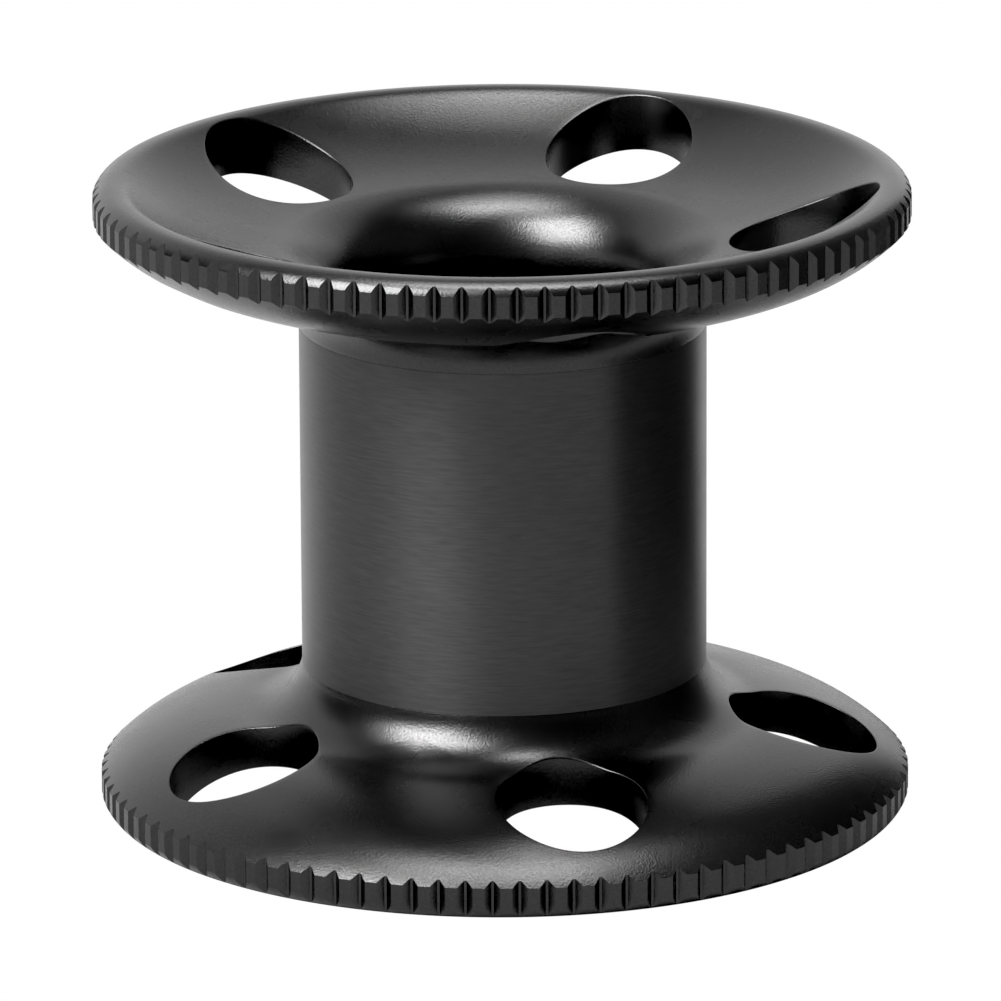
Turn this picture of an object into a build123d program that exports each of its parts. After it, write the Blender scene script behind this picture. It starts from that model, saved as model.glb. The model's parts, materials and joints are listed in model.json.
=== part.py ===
"""Diver's finger spool: two dished, rim-grooved flanges on a plain barrel, all aluminium.

The spool stands on its lower rim with its axis along Z. The origin is the centre of the
finger bore, half way up. The two flanges are mirror images, so their clip holes and grip
grooves line up. Lengths are in millimetres and angles in degrees.
"""

from build123d import *
import os
from math import asin, cos, pi, radians, sin, sqrt

# ---- Driving dimensions -------------------------------------------------------------

# Whole spool
RIM_RADIUS = 40.0            # over the lands between the grip grooves
BORE_RADIUS = 15.5           # a gloved finger turns the spool here

# Barrel
BARREL_WALL = 4.5
BARREL_HALF_LENGTH = 17.2    # mid plane to the flange's shoulder

# Flange joint: a spigot on each flange goes into a socket in each end of the barrel
SPIGOT_WALL = 2.3
SPIGOT_LENGTH = 6.0
BOND_GAP = 0.03              # radial room for the retaining compound
SEAT_GAP = 0.10              # room below the spigot, so that the shoulder seats first

# Flange, outer side: bore, rounded mouth, bowl, lip rounded on both sides, land
FLANGE_RISE = 14.4           # end of the barrel to the flat lip that the spool rests on
MOUTH_WIDTH = 6.9            # from the bore to where the rounding runs out into the bowl
BOWL_FLOOR_RISE = 8.6        # end of the barrel to the bottom of the bowl
BOWL_FLOOR_SLOPE = 4.0       # the bowl still climbs outwards here
LIP_FLAT_WIDTH = 0.3         # all that is left level between the two roundings
LIP_ROUNDING = 2.1           # radius of both roundings
LIP_ROUNDING_WIDTH = 1.95    # the outer rounding is cut off here by the land

# Flange, line side: fillet up from the barrel, web, and the shoulder out to the land
FILLET_START_SLOPE = 80.0    # nearly along the barrel, which leaves a fine visible crease
FILLET_WIDTH = 5.2
FILLET_RISE = 4.8
SHOULDER_WIDTH = 5.5
SHOULDER_RISE = 7.2          # end of the barrel to the inner edge of the shoulder
LAND_WIDTH = 2.1             # upright band round the rim

# Clip holes, drilled along the axis: each fills the flange but for these two margins
HOLE_COUNT = 5
HOLE_INNER_MARGIN = 2.3      # from the barrel's surface to a hole
HOLE_OUTER_MARGIN = 3.1      # from a hole to the rim
HOLE_START_ANGLE = -5.4
HOLE_EDGE_BREAK = 0.15

# Grip grooves: V cuts along the axis, with a whole number between one hole and the next
GROOVE_START_ANGLE = -4.64
GROOVE_PITCH = 2.65
GROOVE_WIDTH = 1.5
GROOVE_DEPTH = 0.6
GROOVE_FLOOR = 0.24          # narrow flat that the cutter's tip leaves

# ---- Sizes that follow --------------------------------------------------------------

BARREL_RADIUS = BORE_RADIUS + BARREL_WALL
SPIGOT_RADIUS = BORE_RADIUS + SPIGOT_WALL
HALF_HEIGHT = BARREL_HALF_LENGTH + FLANGE_RISE
HOLE_INNER_EDGE = BARREL_RADIUS + HOLE_INNER_MARGIN
HOLE_OUTER_EDGE = RIM_RADIUS - HOLE_OUTER_MARGIN
HOLE_RADIUS = (HOLE_OUTER_EDGE - HOLE_INNER_EDGE) / 2
HOLE_CIRCLE_RADIUS = (HOLE_OUTER_EDGE + HOLE_INNER_EDGE) / 2
GROOVES_PER_SECTOR = round(2 * pi * RIM_RADIUS / HOLE_COUNT / GROOVE_PITCH)


def flange_profile():
    """Half section of the upper flange, in the XZ plane at positive X."""
    spigot_foot = BARREL_HALF_LENGTH - SPIGOT_LENGTH + SEAT_GAP
    flat_outer = RIM_RADIUS - LIP_ROUNDING_WIDTH
    flat_inner = flat_outer - LIP_FLAT_WIDTH
    land_top = HALF_HEIGHT - LIP_ROUNDING
    land_top += sqrt(LIP_ROUNDING**2 - LIP_ROUNDING_WIDTH**2)
    land_foot = land_top - LAND_WIDTH

    # The mouth's rounding is upright where it leaves the bore and at the bowl's slope where
    # it ends, and that fixes its radius and the height at which it starts.
    slope = radians(BOWL_FLOOR_SLOPE)
    floor_height = BARREL_HALF_LENGTH + BOWL_FLOOR_RISE
    mouth_radius = MOUTH_WIDTH / (1 - sin(slope))
    mouth_foot = floor_height - mouth_radius * cos(slope)

    floor_point = (BORE_RADIUS + MOUTH_WIDTH, floor_height)
    floor_slope = (cos(slope), sin(slope))

    # The bowl is one arc from its floor to the lip's inner rounding, and meets both smoothly.
    run = flat_inner - floor_point[0]
    climb = HALF_HEIGHT - floor_height
    bowl_radius = run**2 + climb**2 - 2 * LIP_ROUNDING * climb
    bowl_radius /= 2 * (LIP_ROUNDING * (1 - cos(slope)) + climb * cos(slope) - run * sin(slope))
    lip_slope = asin((run + bowl_radius * sin(slope)) / (bowl_radius + LIP_ROUNDING))
    lip_start = (
        flat_inner - LIP_ROUNDING * sin(lip_slope),
        HALF_HEIGHT - LIP_ROUNDING * (1 - cos(lip_slope)),
    )

    crease = (BARREL_RADIUS, BARREL_HALF_LENGTH)
    fillet_slope = (cos(radians(FILLET_START_SLOPE)), sin(radians(FILLET_START_SLOPE)))
    web_start = (BARREL_RADIUS + FILLET_WIDTH, BARREL_HALF_LENGTH + FILLET_RISE)
    web_end = (RIM_RADIUS - SHOULDER_WIDTH, BARREL_HALF_LENGTH + SHOULDER_RISE)

    with BuildSketch(Plane.XZ) as section:
        with BuildLine():
            Polyline(
                crease,
                (SPIGOT_RADIUS, BARREL_HALF_LENGTH),
                (SPIGOT_RADIUS, spigot_foot),
                (BORE_RADIUS, spigot_foot),
                (BORE_RADIUS, mouth_foot),
            )
            TangentArc((BORE_RADIUS, mouth_foot), floor_point, tangent=(0, 1))
            bowl = TangentArc(floor_point, lip_start, tangent=floor_slope)
            TangentArc(lip_start, (flat_inner, HALF_HEIGHT), tangent=bowl % 1)
            Line((flat_inner, HALF_HEIGHT), (flat_outer, HALF_HEIGHT))
            TangentArc((flat_outer, HALF_HEIGHT), (RIM_RADIUS, land_top), tangent=(1, 0))
            Line((RIM_RADIUS, land_top), (RIM_RADIUS, land_foot))
            fillet = TangentArc(crease, web_start, tangent=fillet_slope)
            web = TangentArc(web_start, web_end, tangent=fillet % 1)
            TangentArc(web_end, (RIM_RADIUS, land_foot), tangent=web % 1)
        make_face()
    return section.sketch


def clip_holes():
    """Cutters for the ring of clip holes, long enough to pass through both faces."""
    with BuildPart() as cutters:
        with PolarLocations(HOLE_CIRCLE_RADIUS, HOLE_COUNT, start_angle=HOLE_START_ANGLE):
            Cylinder(
                HOLE_RADIUS,
                HALF_HEIGHT + LAND_WIDTH,
                align=(Align.CENTER, Align.CENTER, Align.MIN),
            )
    return cutters.part


def grip_grooves():
    """Cutters for the V grooves, evenly spaced all round the rim."""
    count = HOLE_COUNT * GROOVES_PER_SECTOR
    overshoot = GROOVE_DEPTH
    side_slope = (GROOVE_WIDTH - GROOVE_FLOOR) / 2 / GROOVE_DEPTH
    half_mouth = GROOVE_WIDTH / 2 + side_slope * overshoot
    with BuildPart() as cutters:
        with BuildSketch():
            with PolarLocations(RIM_RADIUS, count, start_angle=GROOVE_START_ANGLE):
                Polygon(
                    (-GROOVE_DEPTH, -GROOVE_FLOOR / 2),
                    (overshoot, -half_mouth),
                    (overshoot, half_mouth),
                    (-GROOVE_DEPTH, GROOVE_FLOOR / 2),
                    align=None,
                )
        extrude(amount=HALF_HEIGHT + LAND_WIDTH)
    return cutters.part


def hole_rims(drilled):
    """The two curved edges of each clip hole, without the seam down its wall."""
    walls = drilled.faces().filter_by(lambda face: face.geom_type == GeomType.CYLINDER)
    walls = walls.filter_by(lambda face: abs(face.radius - HOLE_RADIUS) < 1e-6)
    return walls.edges().filter_by(GeomType.LINE, reverse=True)


def make_upper_flange():
    """Turned, drilled, its holes' edges broken, then grooved round the rim."""
    turned = revolve(flange_profile(), Axis.Z)
    drilled = turned - clip_holes()
    eased = chamfer(hole_rims(drilled), HOLE_EDGE_BREAK)
    return eased - grip_grooves()


def make_barrel():
    """Plain turned tube with a socket bored in each end."""
    length = 2 * BARREL_HALF_LENGTH
    tube = Cylinder(BARREL_RADIUS, length) - Cylinder(BORE_RADIUS, length)
    socket = Cylinder(
        SPIGOT_RADIUS + BOND_GAP, SPIGOT_LENGTH, align=(Align.CENTER, Align.CENTER, Align.MAX)
    )
    upper_socket = Pos(0, 0, BARREL_HALF_LENGTH) * socket
    return tube - upper_socket - mirror(upper_socket, about=Plane.XY)


upper_flange = make_upper_flange()
nodes = {
    "upper_flange": upper_flange,
    "barrel": make_barrel(),
    "lower_flange": mirror(upper_flange, about=Plane.XY),
}

os.makedirs("parts", exist_ok=True)
for name, shape in nodes.items():
    export_step(shape, f"parts/{name}.step")
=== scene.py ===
"""Diver's finger spool, turned from aluminium bar and anodised black.

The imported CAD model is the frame: it gives the sizes, and each piece here stands in the
place of one CAD node. Lengths in the sections are in millimetres until a mesh is made.
"""

import json

import bpy
from math import asin, atan2, cos, pi, radians, sin
from mathutils import Matrix, Vector


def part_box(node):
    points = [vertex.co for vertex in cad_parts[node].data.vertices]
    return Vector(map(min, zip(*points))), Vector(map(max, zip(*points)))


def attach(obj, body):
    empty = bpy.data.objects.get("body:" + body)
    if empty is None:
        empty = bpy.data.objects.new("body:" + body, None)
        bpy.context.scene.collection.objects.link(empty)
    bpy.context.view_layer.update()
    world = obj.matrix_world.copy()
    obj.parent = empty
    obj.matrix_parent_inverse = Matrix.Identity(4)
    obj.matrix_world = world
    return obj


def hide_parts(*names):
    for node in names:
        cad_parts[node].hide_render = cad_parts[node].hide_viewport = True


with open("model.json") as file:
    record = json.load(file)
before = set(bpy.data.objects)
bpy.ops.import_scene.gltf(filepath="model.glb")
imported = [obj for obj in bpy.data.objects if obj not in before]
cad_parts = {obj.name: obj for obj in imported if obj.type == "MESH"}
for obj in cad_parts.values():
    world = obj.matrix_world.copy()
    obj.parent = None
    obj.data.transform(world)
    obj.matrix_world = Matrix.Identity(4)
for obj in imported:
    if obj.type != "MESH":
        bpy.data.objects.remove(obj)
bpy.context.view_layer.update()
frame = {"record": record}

MM = 0.001
bpy.ops.object.select_all(action="DESELECT")


# ---- Barrel ---------------------------------------------------------------------------
# The tube that the line winds on. It is turned from 40 mm aluminium tube, and each end is
# bored out to take a flange's spigot. Its outer corners are just broken with a file, so a
# hairline shows where it meets each flange.

barrel_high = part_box("barrel")[1]
mounts = {mount["name"]: mount for mount in frame["record"]["mounts"]}

BARREL_RADIUS = barrel_high.x / MM
BARREL_END = barrel_high.z / MM
BORE_RADIUS = mounts["finger_bore"]["dims"]["r_mm"]
SPIGOT_RADIUS = 17.8
SPIGOT_LENGTH = 6.0
BOND_GAP = 0.03
BARREL_CORNER = 0.02
TURN_STEPS = 475             # five to each grip groove
START_ANGLE = radians(-5.4)  # a clip hole's centre
SHARP_ANGLE = radians(19.5)  # a corner stays sharp beyond this; a hole's edge turns in 18s
HALF_STEP = pi / TURN_STEPS


def turned(name, outline):
    """Draws an outline of (radius, height) points and spins it once round the axis."""
    around = Vector((cos(START_ANGLE + HALF_STEP), sin(START_ANGLE + HALF_STEP), 0))
    points = [around * radius * MM + Vector((0, 0, height * MM)) for radius, height in outline]
    bpy.ops.mesh.primitive_plane_add(size=1, enter_editmode=True)
    bpy.ops.mesh.merge(type="CENTER")
    bpy.ops.transform.translate(value=points[0])
    for here, there in zip(points, points[1:]):
        bpy.ops.mesh.extrude_region_move(TRANSFORM_OT_translate={"value": there - here})
    bpy.ops.mesh.select_all(action="SELECT")
    bpy.ops.mesh.spin(steps=TURN_STEPS, angle=2 * pi, center=(0, 0, 0), axis=(0, 0, 1))
    bpy.ops.mesh.select_all(action="SELECT")
    bpy.ops.mesh.remove_doubles(threshold=1e-6)
    bpy.ops.object.mode_set(mode="OBJECT")
    piece = bpy.context.object
    piece.name = name
    return piece


def finished(piece):
    """Faces turned outwards, doubles merged, and smooth shading that stops at real edges."""
    bpy.ops.object.select_all(action="DESELECT")
    piece.select_set(True)
    bpy.context.view_layer.objects.active = piece
    bpy.ops.object.mode_set(mode="EDIT")
    bpy.ops.mesh.select_all(action="SELECT")
    bpy.ops.mesh.remove_doubles(threshold=2e-6)
    bpy.ops.mesh.normals_make_consistent(inside=False)
    bpy.ops.object.mode_set(mode="OBJECT")
    bpy.ops.object.shade_smooth_by_angle(angle=SHARP_ANGLE)
    piece.select_set(False)
    return piece


socket_floor = BARREL_END - SPIGOT_LENGTH
socket_radius = SPIGOT_RADIUS + BOND_GAP
upper_half = [
    (BORE_RADIUS, socket_floor),
    (socket_radius, socket_floor),
    (socket_radius, BARREL_END),
    (BARREL_RADIUS - BARREL_CORNER, BARREL_END),
    (BARREL_RADIUS, BARREL_END - BARREL_CORNER),
]
lower_half = [(radius, -height) for radius, height in reversed(upper_half)]
barrel = finished(turned("spool_barrel", upper_half + lower_half + upper_half[:1]))


# ---- Flanges --------------------------------------------------------------------------
# Two mirrored dishes, each turned in one piece with the spigot that goes into the barrel.
# The hub is the turned middle: rounded mouth, finger bore, spigot and the foot of the
# fillet that leads up from the barrel.

flange_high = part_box("upper_flange")[1]
clip_holes = mounts["upper_clip_holes"]["dims"]

HALF_HEIGHT = flange_high.z / MM
RIM_RADIUS = 40.0
SEAT_GAP = 0.10
BOWL_FLOOR = Vector((22.4, 25.8))
BOWL_FLOOR_SLOPE = radians(4.0)
LIP_FLAT_WIDTH = 0.3
LIP_ROUNDING = 2.1
LIP_ROUNDING_WIDTH = 1.95
LAND_WIDTH = 2.1
CREASE = Vector((BARREL_RADIUS, BARREL_END))
FILLET_START_SLOPE = radians(80.0)
WEB_START = Vector((25.2, 22.0))
WEB_END = Vector((34.5, 24.4))
FLAT_OUTER = Vector((RIM_RADIUS - LIP_ROUNDING_WIDTH, HALF_HEIGHT))
FLAT_INNER = FLAT_OUTER - Vector((LIP_FLAT_WIDTH, 0))
LAND_TOP = FLAT_OUTER + Vector(
    (LIP_ROUNDING_WIDTH, (LIP_ROUNDING**2 - LIP_ROUNDING_WIDTH**2) ** 0.5 - LIP_ROUNDING)
)
LAND_FOOT = LAND_TOP - Vector((0, LAND_WIDTH))
HUB_RADIUS = 21.0            # the hub ends here, and the drilled dish begins


class Arc:
    """A turned curve that leaves its start at a slope and ends at a point."""

    def __init__(self, start, slope, end):
        chord = end - start
        sweep = 2 * (atan2(chord.y, chord.x) - slope)
        self.start, self.slope, self.sweep = start, slope, sweep
        self.end, self.end_slope = end, slope + sweep
        self.radius = chord.length / (2 * sin(sweep / 2))

    def at(self, share):
        slope = self.slope + self.sweep * share
        across = self.radius * (sin(slope) - sin(self.slope))
        up = self.radius * (cos(self.slope) - cos(slope))
        return self.start + Vector((across, up))

    def share_at_radius(self, radius):
        slope_sine = sin(self.slope) + (radius - self.start.x) / self.radius
        return (asin(slope_sine) - self.slope) / self.sweep

    def points(self, count, first=0.0, last=1.0):
        return [self.at(first + (last - first) * k / count) for k in range(count + 1)]


mouth_radius = (BOWL_FLOOR.x - BORE_RADIUS) / (1 - sin(BOWL_FLOOR_SLOPE))
mouth_foot = Vector((BORE_RADIUS, BOWL_FLOOR.y - mouth_radius * cos(BOWL_FLOOR_SLOPE)))
mouth = Arc(mouth_foot, pi / 2, BOWL_FLOOR)

# The bowl is one arc that runs smoothly into the rounding on the inside of the lip.
run, climb = FLAT_INNER - BOWL_FLOOR
bowl_radius = (run**2 + climb**2 - 2 * LIP_ROUNDING * climb) / 2
bowl_radius /= LIP_ROUNDING * (1 - cos(BOWL_FLOOR_SLOPE)) + (
    climb * cos(BOWL_FLOOR_SLOPE) - run * sin(BOWL_FLOOR_SLOPE)
)
lip_slope = asin((run + bowl_radius * sin(BOWL_FLOOR_SLOPE)) / (bowl_radius + LIP_ROUNDING))
LIP_START = FLAT_INNER - LIP_ROUNDING * Vector((sin(lip_slope), 1 - cos(lip_slope)))
bowl = Arc(BOWL_FLOOR, BOWL_FLOOR_SLOPE, LIP_START)
lip_inside = Arc(LIP_START, bowl.end_slope, FLAT_INNER)
lip_outside = Arc(FLAT_OUTER, 0.0, LAND_TOP)
fillet = Arc(CREASE, FILLET_START_SLOPE, WEB_START)
web = Arc(WEB_START, fillet.end_slope, WEB_END)
shoulder = Arc(WEB_END, web.end_slope, LAND_FOOT)


def height_on(arcs, radius):
    """Height of a face made of arcs, at a distance from the axis."""
    arc = next((arc for arc in arcs if radius <= arc.end.x), arcs[-1])
    return arc.at(arc.share_at_radius(radius)).y


def outer_height(radius):
    return height_on((mouth, bowl, lip_inside), radius)


def line_side_height(radius):
    return height_on((fillet, web, shoulder), radius)


spigot_foot = BARREL_END - SPIGOT_LENGTH + SEAT_GAP
SPIGOT_CORNER = 0.3
mouth_top = mouth.share_at_radius(HUB_RADIUS)
fillet_foot = fillet.share_at_radius(BARREL_RADIUS + BARREL_CORNER)
fillet_top = fillet.share_at_radius(HUB_RADIUS)
hub_outline = [
    *reversed(mouth.points(12, last=mouth_top)),
    (BORE_RADIUS, spigot_foot),
    (SPIGOT_RADIUS - SPIGOT_CORNER, spigot_foot),
    (SPIGOT_RADIUS, spigot_foot + SPIGOT_CORNER),
    (SPIGOT_RADIUS, BARREL_END),
    (BARREL_RADIUS - BARREL_CORNER, BARREL_END),
    *fillet.points(6, first=fillet_foot, last=fillet_top),
]
hub = turned("flange_hub", hub_outline)

# The dish round one clip hole: a fifth of the flange's web, with the hole drilled along
# the axis and its edges rounded by a deburring wheel. It starts as a flat grid that is
# wrapped round the hole: one way round the hole, the other way from the outer face over
# the hole's edge, down its wall and out along the line side.

HOLE_RADIUS = clip_holes["hole_r_mm"]
HOLE_CENTRE = Vector((clip_holes["pcd_mm"] / 2, 0))
HOLE_COUNT = clip_holes["count"]
EDGE_ROUNDING = 0.15
SECTOR = 2 * pi / HOLE_COUNT
SECTOR_STEPS = TURN_STEPS // HOLE_COUNT
SIDE_STEPS = 22              # these and the outer rows are closest together on the
OUTER_ROWS = 19              # lip's rounding
LINE_SIDE_ROWS = 19
EDGE_ROWS = 5
WALL_ROWS = 3


def along(radius, angle):
    return Vector((radius * cos(angle), radius * sin(angle)))


def sector_outline():
    """The flat outline of one fifth of the dish, once round, without its last point twice."""
    angles = [SECTOR * (k / SECTOR_STEPS - 0.5) for k in range(SECTOR_STEPS)]
    shares = [(1 - k / SIDE_STEPS) ** 1.4 for k in range(SIDE_STEPS + 1)]
    radii = [HUB_RADIUS + (FLAT_INNER.x - HUB_RADIUS) * (1 - share) for share in shares]
    outer = [along(FLAT_INNER.x, angle) for angle in angles]
    down = [along(radius, SECTOR / 2) for radius in reversed(radii[1:])]
    inner = [along(HUB_RADIUS, -angle) for angle in angles]
    up = [along(radius, -SECTOR / 2) for radius in radii[:-1]]
    return outer + down + inner + up


def dish_rows(outline_point):
    """Points from the outer face's edge, through the clip hole, to the line side's edge."""
    away = (outline_point - HOLE_CENTRE).normalized()
    rows = []
    edge = HOLE_CENTRE + away * (HOLE_RADIUS + EDGE_ROUNDING)
    for k in range(OUTER_ROWS):
        spot = outline_point.lerp(edge, (k / OUTER_ROWS) ** 1.6)
        rows.append((*spot, outer_height(spot.length)))
    for k in range(EDGE_ROWS + 1):
        turn = pi / 2 * k / EDGE_ROWS
        spot = HOLE_CENTRE + away * (HOLE_RADIUS + EDGE_ROUNDING * (1 - sin(turn)))
        rows.append((*spot, outer_height(spot.length) - EDGE_ROUNDING * (1 - cos(turn))))
    wall = HOLE_CENTRE + away * HOLE_RADIUS
    wall_top = outer_height(wall.length) - EDGE_ROUNDING
    wall_foot = line_side_height(wall.length) + EDGE_ROUNDING
    for k in range(1, WALL_ROWS):
        rows.append((*wall, wall_top + (wall_foot - wall_top) * k / WALL_ROWS))
    for k in range(EDGE_ROWS, -1, -1):
        turn = pi / 2 * k / EDGE_ROWS
        spot = HOLE_CENTRE + away * (HOLE_RADIUS + EDGE_ROUNDING * (1 - sin(turn)))
        rows.append((*spot, line_side_height(spot.length) + EDGE_ROUNDING * (1 - cos(turn))))
    for k in range(1, LINE_SIDE_ROWS + 1):
        spot = edge.lerp(outline_point, k / LINE_SIDE_ROWS)
        rows.append((*spot, line_side_height(spot.length)))
    return rows


def wrapped_grid(name, columns):
    """A flat grid whose points are moved, column by column, to lists of places."""
    bpy.ops.mesh.primitive_grid_add(
        x_subdivisions=len(columns) - 1, y_subdivisions=len(columns[0]) - 1, size=1
    )
    piece = bpy.context.object
    piece.name = name
    start = Matrix.Rotation(START_ANGLE, 3, "Z")
    for vertex in piece.data.vertices:
        column = round((vertex.co.x + 0.5) * (len(columns) - 1))
        row = round((vertex.co.y + 0.5) * (len(columns[0]) - 1))
        vertex.co = start @ Vector(columns[column][row]) * MM
    return piece


def repeat_round(piece, count):
    """Copies a piece's mesh round the axis until there are count of them."""
    bpy.ops.object.mode_set(mode="EDIT")
    bpy.ops.mesh.select_all(action="SELECT")
    bpy.ops.mesh.spin(
        steps=count - 1,
        dupli=True,
        angle=2 * pi * (count - 1) / count,
        center=(0, 0, 0),
        axis=(0, 0, 1),
    )
    bpy.ops.object.mode_set(mode="OBJECT")


outline = sector_outline()
dish = wrapped_grid("flange_dish", [dish_rows(spot) for spot in outline + outline[:1]])
repeat_round(dish, HOLE_COUNT)

# The rim at one grip groove: rounded lip, upright land, and the shoulder that runs back
# under it to the web. The V groove is cut straight down with a pointed cutter, so it runs
# out in an arch on the lip and on the shoulder.

GROOVE_COUNT = 95
GROOVE_START = 2 * pi / TURN_STEPS   # one turning step past a clip hole's centre
GROOVE_WIDTH = 1.5
GROOVE_DEPTH = 0.6
GROOVE_FLOOR = 0.24
PITCH = 2 * pi / GROOVE_COUNT
GROOVE_COLUMNS = (-2.5, -1.5, -0.5, 0.5, 1.5, 2.5)
floor_radius = RIM_RADIUS - GROOVE_DEPTH


def rim_outline():
    """Outline of the rim from the bowl's edge, over the lip and the land, to the line side."""
    tip = lip_outside.share_at_radius(floor_radius)
    cut = shoulder.share_at_radius(floor_radius)
    points = [FLAT_INNER] + lip_outside.points(4, last=tip)
    points += lip_outside.points(8, first=tip)[1:]
    points += [LAND_TOP.lerp(LAND_FOOT, share) for share in (0.33, 0.67, 1.0)]
    points += shoulder.points(5, first=1.0, last=cut)[1:]
    points += shoulder.points(5, first=cut, last=shoulder.share_at_radius(FLAT_INNER.x))[1:]
    return points


def rim_column(column):
    """One line of points from lip to line side, in turning steps from the groove's middle.

    The two middle columns lie on the groove's floor, the next two are its edges, and the
    outer two are half way to the neighbouring grooves.
    """
    places = []
    for spot in rim_outline():
        reach = spot.x - floor_radius
        angle = PITCH * column / 5
        radius = spot.x
        if reach > -1e-6 and abs(column) < 2:
            radius = spot.x if abs(column) > 1 else floor_radius
            spread = (GROOVE_WIDTH - GROOVE_FLOOR) * reach / GROOVE_DEPTH if abs(column) > 1 else 0
            angle = (GROOVE_FLOOR + spread) / 2 / radius * (1 if column > 0 else -1)
        places.append((*along(radius, GROOVE_START + angle), spot.y))
    return places


rim = wrapped_grid("flange_rim", [rim_column(column) for column in GROOVE_COLUMNS])
repeat_round(rim, GROOVE_COUNT)

bpy.ops.object.select_all(action="DESELECT")
for part in (hub, dish, rim):
    part.select_set(True)
bpy.context.view_layer.objects.active = hub
bpy.ops.object.join()
upper_flange = finished(hub)
upper_flange.name = "spool_upper_flange"

upper_flange.select_set(True)
bpy.context.view_layer.objects.active = upper_flange
bpy.ops.object.duplicate()
lower_flange = bpy.context.object
lower_flange.name = "spool_lower_flange"
bpy.ops.transform.mirror(constraint_axis=(False, False, True))
bpy.ops.object.transform_apply(location=True, rotation=True, scale=True)
lower_flange = finished(lower_flange)


# ---- Anodised finish ------------------------------------------------------------------
# Aluminium turned with a fine feed, lightly blasted, then anodised and dyed black. The dyed
# oxide is dark seen square on and mirrors the light strongly at a glancing angle.


def linear(hex_colour):
    """An sRGB hex colour as a linear RGBA value."""
    channels = [int(hex_colour[k : k + 2], 16) / 255 for k in (1, 3, 5)]
    straight = [c / 12.92 if c <= 0.04045 else ((c + 0.055) / 1.055) ** 2.4 for c in channels]
    return (*straight, 1.0)


def add_node(tree, kind, inputs, **settings):
    """Adds a node, sets its properties, and gives each input a value or another's output."""
    node = tree.nodes.new(kind)
    for key, value in settings.items():
        setattr(node, key, value)
    for key, value in inputs.items():
        if isinstance(value, bpy.types.NodeSocket):
            tree.links.new(value, node.inputs[key])
        else:
            node.inputs[key].default_value = value
    return node.outputs


def new_tree(name):
    material = bpy.data.materials.new(name)
    material.use_nodes = True
    material.node_tree.nodes.clear()
    return material, material.node_tree


def noise(tree, place, size, detail):
    """Noise between 0 and 1, whose lumps are about a size in millimetres."""
    inputs = {"Vector": place, "Scale": 1 / (size * MM), "Detail": detail}
    return add_node(tree, "ShaderNodeTexNoise", inputs)["Fac"]


def tinted(tree, share, dark, light):
    """A colour between a dark and a light one."""
    inputs = {0: share, 6: linear(dark), 7: linear(light)}
    return add_node(tree, "ShaderNodeMix", inputs, data_type="RGBA")[2]


def uneven_roughness(tree, cloud, least, most):
    """Roughness that drifts between two values with a cloudy noise."""
    inputs = {"Value": cloud, "From Min": 0.3, "From Max": 0.7, "To Min": least, "To Max": most}
    return add_node(tree, "ShaderNodeMapRange", inputs)["Result"]


# Barrel: the tool's feed leaves fine rings, drawn as streaks a few millimetres long and a
# fifth of a millimetre high. Finer ones only spread the highlights up and down, and the
# anisotropy stands for those.
STREAK_LENGTH = 2.5 * MM
STREAK_HEIGHT = 0.2 * MM

barrel_finish, tree = new_tree("black_anodised_barrel")
place = add_node(tree, "ShaderNodeTexCoord", {})["Object"]
along_rings = add_node(
    tree,
    "ShaderNodeMapping",
    {"Vector": place, "Scale": (1 / STREAK_LENGTH, 1 / STREAK_LENGTH, 1 / STREAK_HEIGHT)},
)["Vector"]
streaks = add_node(
    tree, "ShaderNodeTexNoise", {"Vector": along_rings, "Scale": 1.0, "Detail": 4.0}
)["Fac"]
speckle = noise(tree, place, 0.3, detail=2.0)
ringed = add_node(tree, "ShaderNodeBump", {"Height": streaks, "Distance": 0.012 * MM})["Normal"]
speckled = add_node(
    tree, "ShaderNodeBump", {"Height": speckle, "Distance": 0.008 * MM, "Normal": ringed}
)["Normal"]
round_axis = add_node(tree, "ShaderNodeTangent", {}, direction_type="RADIAL", axis="Z")["Tangent"]
surface = add_node(
    tree,
    "ShaderNodeBsdfPrincipled",
    {
        "Base Color": tinted(tree, streaks, "#3f3f3f", "#535353"),
        "Metallic": 1.0,
        "Roughness": uneven_roughness(tree, noise(tree, place, 7, detail=4.0), 0.36, 0.4),
        "Anisotropic": 0.7,
        "Anisotropic Rotation": 0.25,
        "Tangent": round_axis,
        "Normal": speckled,
    },
)["BSDF"]
add_node(tree, "ShaderNodeOutputMaterial", {"Surface": surface})

# Flanges: blasted after turning, so an even grain breaks up the highlights. It is drawn about
# a fifth of a millimetre across, coarser than real blasting, which would be too fine to see.
flange_finish, tree = new_tree("black_anodised_flange")
place = add_node(tree, "ShaderNodeTexCoord", {})["Object"]
grain = noise(tree, place, 0.22, detail=3.0)
blasted = add_node(tree, "ShaderNodeBump", {"Height": grain, "Distance": 0.022 * MM})["Normal"]
surface = add_node(
    tree,
    "ShaderNodeBsdfPrincipled",
    {
        "Base Color": tinted(tree, grain, "#323232", "#4a4a4a"),
        "Metallic": 1.0,
        "Roughness": uneven_roughness(tree, noise(tree, place, 6, detail=4.0), 0.25, 0.29),
        "Normal": blasted,
    },
)["BSDF"]
add_node(tree, "ShaderNodeOutputMaterial", {"Surface": surface})

for piece, finish, node, slot in (
    (barrel, barrel_finish, "barrel", "barrel_anodise"),
    (upper_flange, flange_finish, "upper_flange", "flange_anodise"),
    (lower_flange, flange_finish, "lower_flange", "flange_anodise"),
):
    piece.data.materials.clear()
    piece.data.materials.append(finish)
    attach(piece, "root")
    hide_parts(node)


# ---- Studio ---------------------------------------------------------------------------
# A white sweep under the spool, exposed until it is plain white, soft boxes overhead, to
# the left and behind, and a dark card to the right that keeps that side dark.


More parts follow.
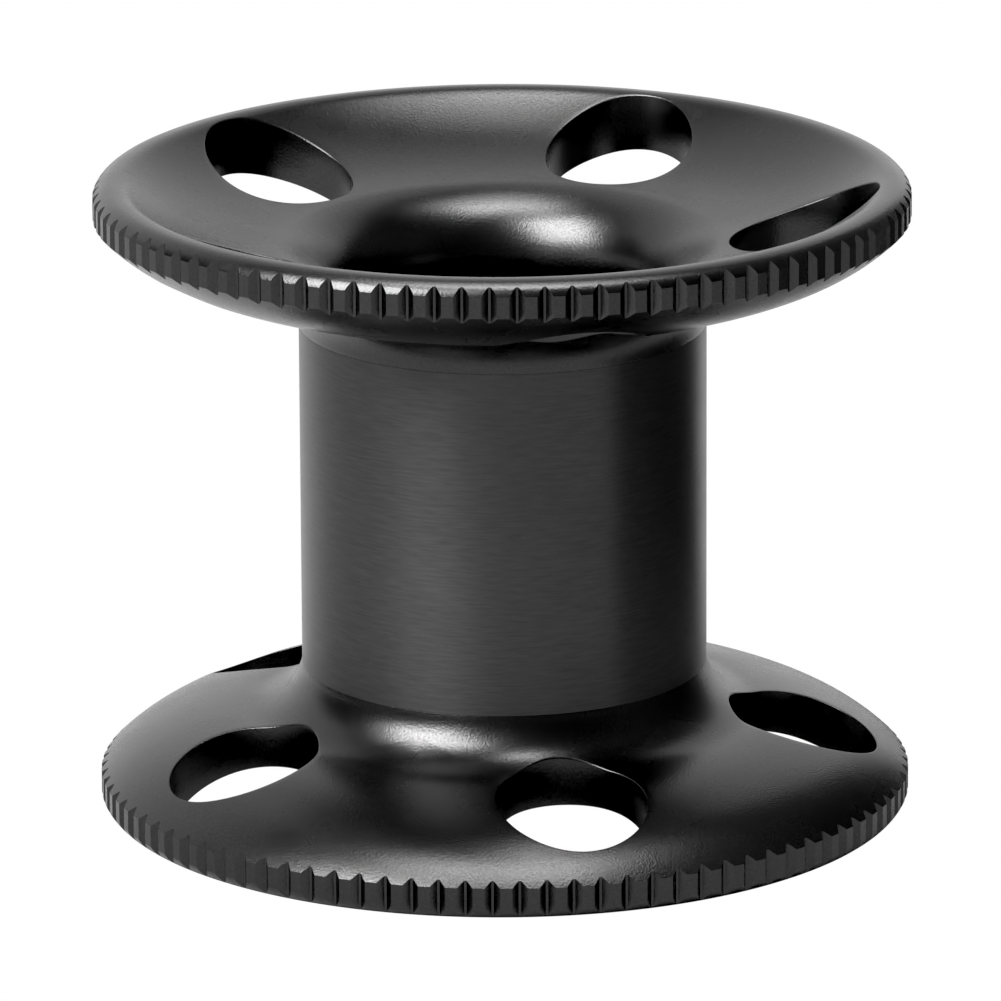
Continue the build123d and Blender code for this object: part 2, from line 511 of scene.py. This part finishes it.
def panel(name, place, aim, width, height):
    """A flat panel at a place, facing a point; lengths in metres."""
    bpy.ops.mesh.primitive_plane_add(size=1, location=place)
    made = bpy.context.object
    made.name = name
    made.scale = (width, height, 1)
    made.rotation_euler = (Vector(aim) - Vector(place)).to_track_quat("Z", "Y").to_euler()
    bpy.ops.object.transform_apply(location=True, rotation=True, scale=True)
    return made


FLOOR_HEIGHT = -HALF_HEIGHT * MM
FLOOR_SIZE = 6
floor = panel("studio_floor", (0, 0, FLOOR_HEIGHT), (0, 0, 1), FLOOR_SIZE, FLOOR_SIZE)
paper, tree = new_tree("white_paper")
seen = add_node(tree, "ShaderNodeEmission", {"Color": linear("#ffffff"), "Strength": 1.0})
lit = add_node(tree, "ShaderNodeBsdfDiffuse", {"Color": linear("#a4a4a4")})
to_camera = add_node(tree, "ShaderNodeLightPath", {})["Is Camera Ray"]
mixed = add_node(tree, "ShaderNodeMixShader", {0: to_camera, 1: lit["BSDF"], 2: seen["Emission"]})
add_node(tree, "ShaderNodeOutputMaterial", {"Surface": mixed["Shader"]})
floor.data.materials.append(paper)

CARD_WIDTH = 0.09
CARD_HEIGHT = 0.12
card_middle = Vector((0.062, 0.005, FLOOR_HEIGHT + CARD_HEIGHT / 2))
card_aim = Vector((0, card_middle.y, card_middle.z))
card = panel("dark_card", card_middle, card_aim, CARD_WIDTH, CARD_HEIGHT)
card_paint, tree = new_tree("dark_card")
matt = add_node(tree, "ShaderNodeBsdfDiffuse", {"Color": linear("#585858")})["BSDF"]
add_node(tree, "ShaderNodeOutputMaterial", {"Surface": matt})
card.data.materials.append(card_paint)
card.visible_camera = False

world = bpy.data.worlds.new("studio")
world.use_nodes = True
world.node_tree.nodes["Background"].inputs["Color"].default_value = (1.0, 1.0, 1.0, 1.0)
world.node_tree.nodes["Background"].inputs["Strength"].default_value = 0.1
bpy.context.scene.world = world


def soft_box(name, azimuth, elevation, distance, width, height, brightness):
    """A rectangular light that faces the spool; the brightness is that of its surface."""
    azimuth, elevation = radians(azimuth), radians(elevation)
    level = distance * cos(elevation)
    place = Vector((level * cos(azimuth), level * sin(azimuth), distance * sin(elevation)))
    bpy.ops.object.light_add(type="AREA", location=place)
    light = bpy.context.object
    light.name = name
    light.data.shape = "RECTANGLE"
    light.data.size, light.data.size_y = width, height
    light.data.energy = brightness * pi * width * height
    light.rotation_euler = (-place).to_track_quat("-Z", "Y").to_euler()
    light.visible_camera = False


soft_box(
    "overhead_box", azimuth=262, elevation=83, distance=1.0, width=0.6, height=0.36, brightness=9.0
)
soft_box(
    "overhead_sheet", azimuth=60, elevation=86, distance=1.15, width=0.7, height=0.6, brightness=4.6
)
soft_box(
    "left_box", azimuth=221, elevation=45, distance=0.9, width=0.56, height=0.56, brightness=20.0
)
soft_box(
    "back_panel", azimuth=100, elevation=28, distance=1.0, width=2.4, height=1.2, brightness=1.0
)

CAMERA_DISTANCE = 1.004
CAMERA_ELEVATION = radians(16.15)
CAMERA_ROLL = radians(-0.29)
back = Vector((0, -cos(CAMERA_ELEVATION), sin(CAMERA_ELEVATION)))
bpy.ops.object.camera_add(location=back * CAMERA_DISTANCE)
camera = bpy.context.object
camera.name = "camera"
facing = (-back).to_track_quat("-Z", "Y").to_matrix()
camera.rotation_euler = (facing @ Matrix.Rotation(CAMERA_ROLL, 3, "Z")).to_euler()
camera.data.sensor_width = 36.0
camera.data.lens = 366.6
camera.data.shift_x = -0.003
camera.data.shift_y = -0.0116
camera.data.clip_start = 0.05
bpy.context.scene.camera = camera

# A plain exposure whose blacks sink a little, as in a contrasty studio print.
view = bpy.context.scene.view_settings
view.view_transform = "Standard"
view.use_curve_mapping = True
view.curve_mapping.black_level = (0.006, 0.006, 0.006)
